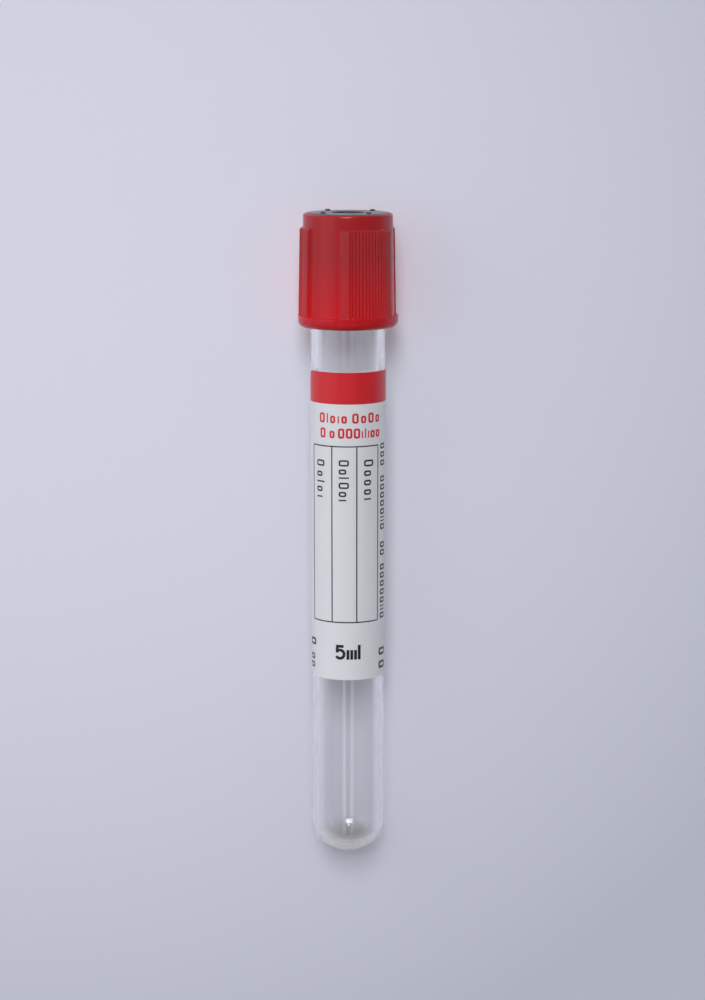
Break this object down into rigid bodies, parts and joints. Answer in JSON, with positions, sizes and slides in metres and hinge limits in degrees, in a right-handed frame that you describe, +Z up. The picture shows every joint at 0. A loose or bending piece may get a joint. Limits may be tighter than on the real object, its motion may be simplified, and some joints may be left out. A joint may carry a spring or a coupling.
{
  "type": "blood collection tube",
  "caption": "Round-bottomed clear tube with a rubber stopper in its mouth, a ribbed safety cap snapped over the stopper and a write-on label wrapped round its front.",
  "frame": {"origin": "on the resting surface, under the middle of the whole part's box", "axes": "+Y along the part from the round bottom to the cap, +Z up, the label's printed face upwards"},
  "size_m": [0.0168, 0.1104, 0.0169],
  "materials": {
    "clear_tube": "clear moulded PET, glossy",
    "label_film": "white write-on label, satin, with a red band and ruled lines",
    "stopper_rubber": "dark grey butyl rubber, matte",
    "cap_plastic": "red moulded plastic, satin gloss"
  },
  "bodies": {
    "tube_body": {"tube": "clear_tube", "label": "label_film"},
    "closure": {"cap": "cap_plastic", "stopper": "stopper_rubber"}
  },
  "joints": [
    {"name": "closure_pull", "type": "slide", "parent": "tube_body", "child": "closure", "axis": [0, 0.9997, 0.0254], "range_m": [0, 0.015]}
  ]
}
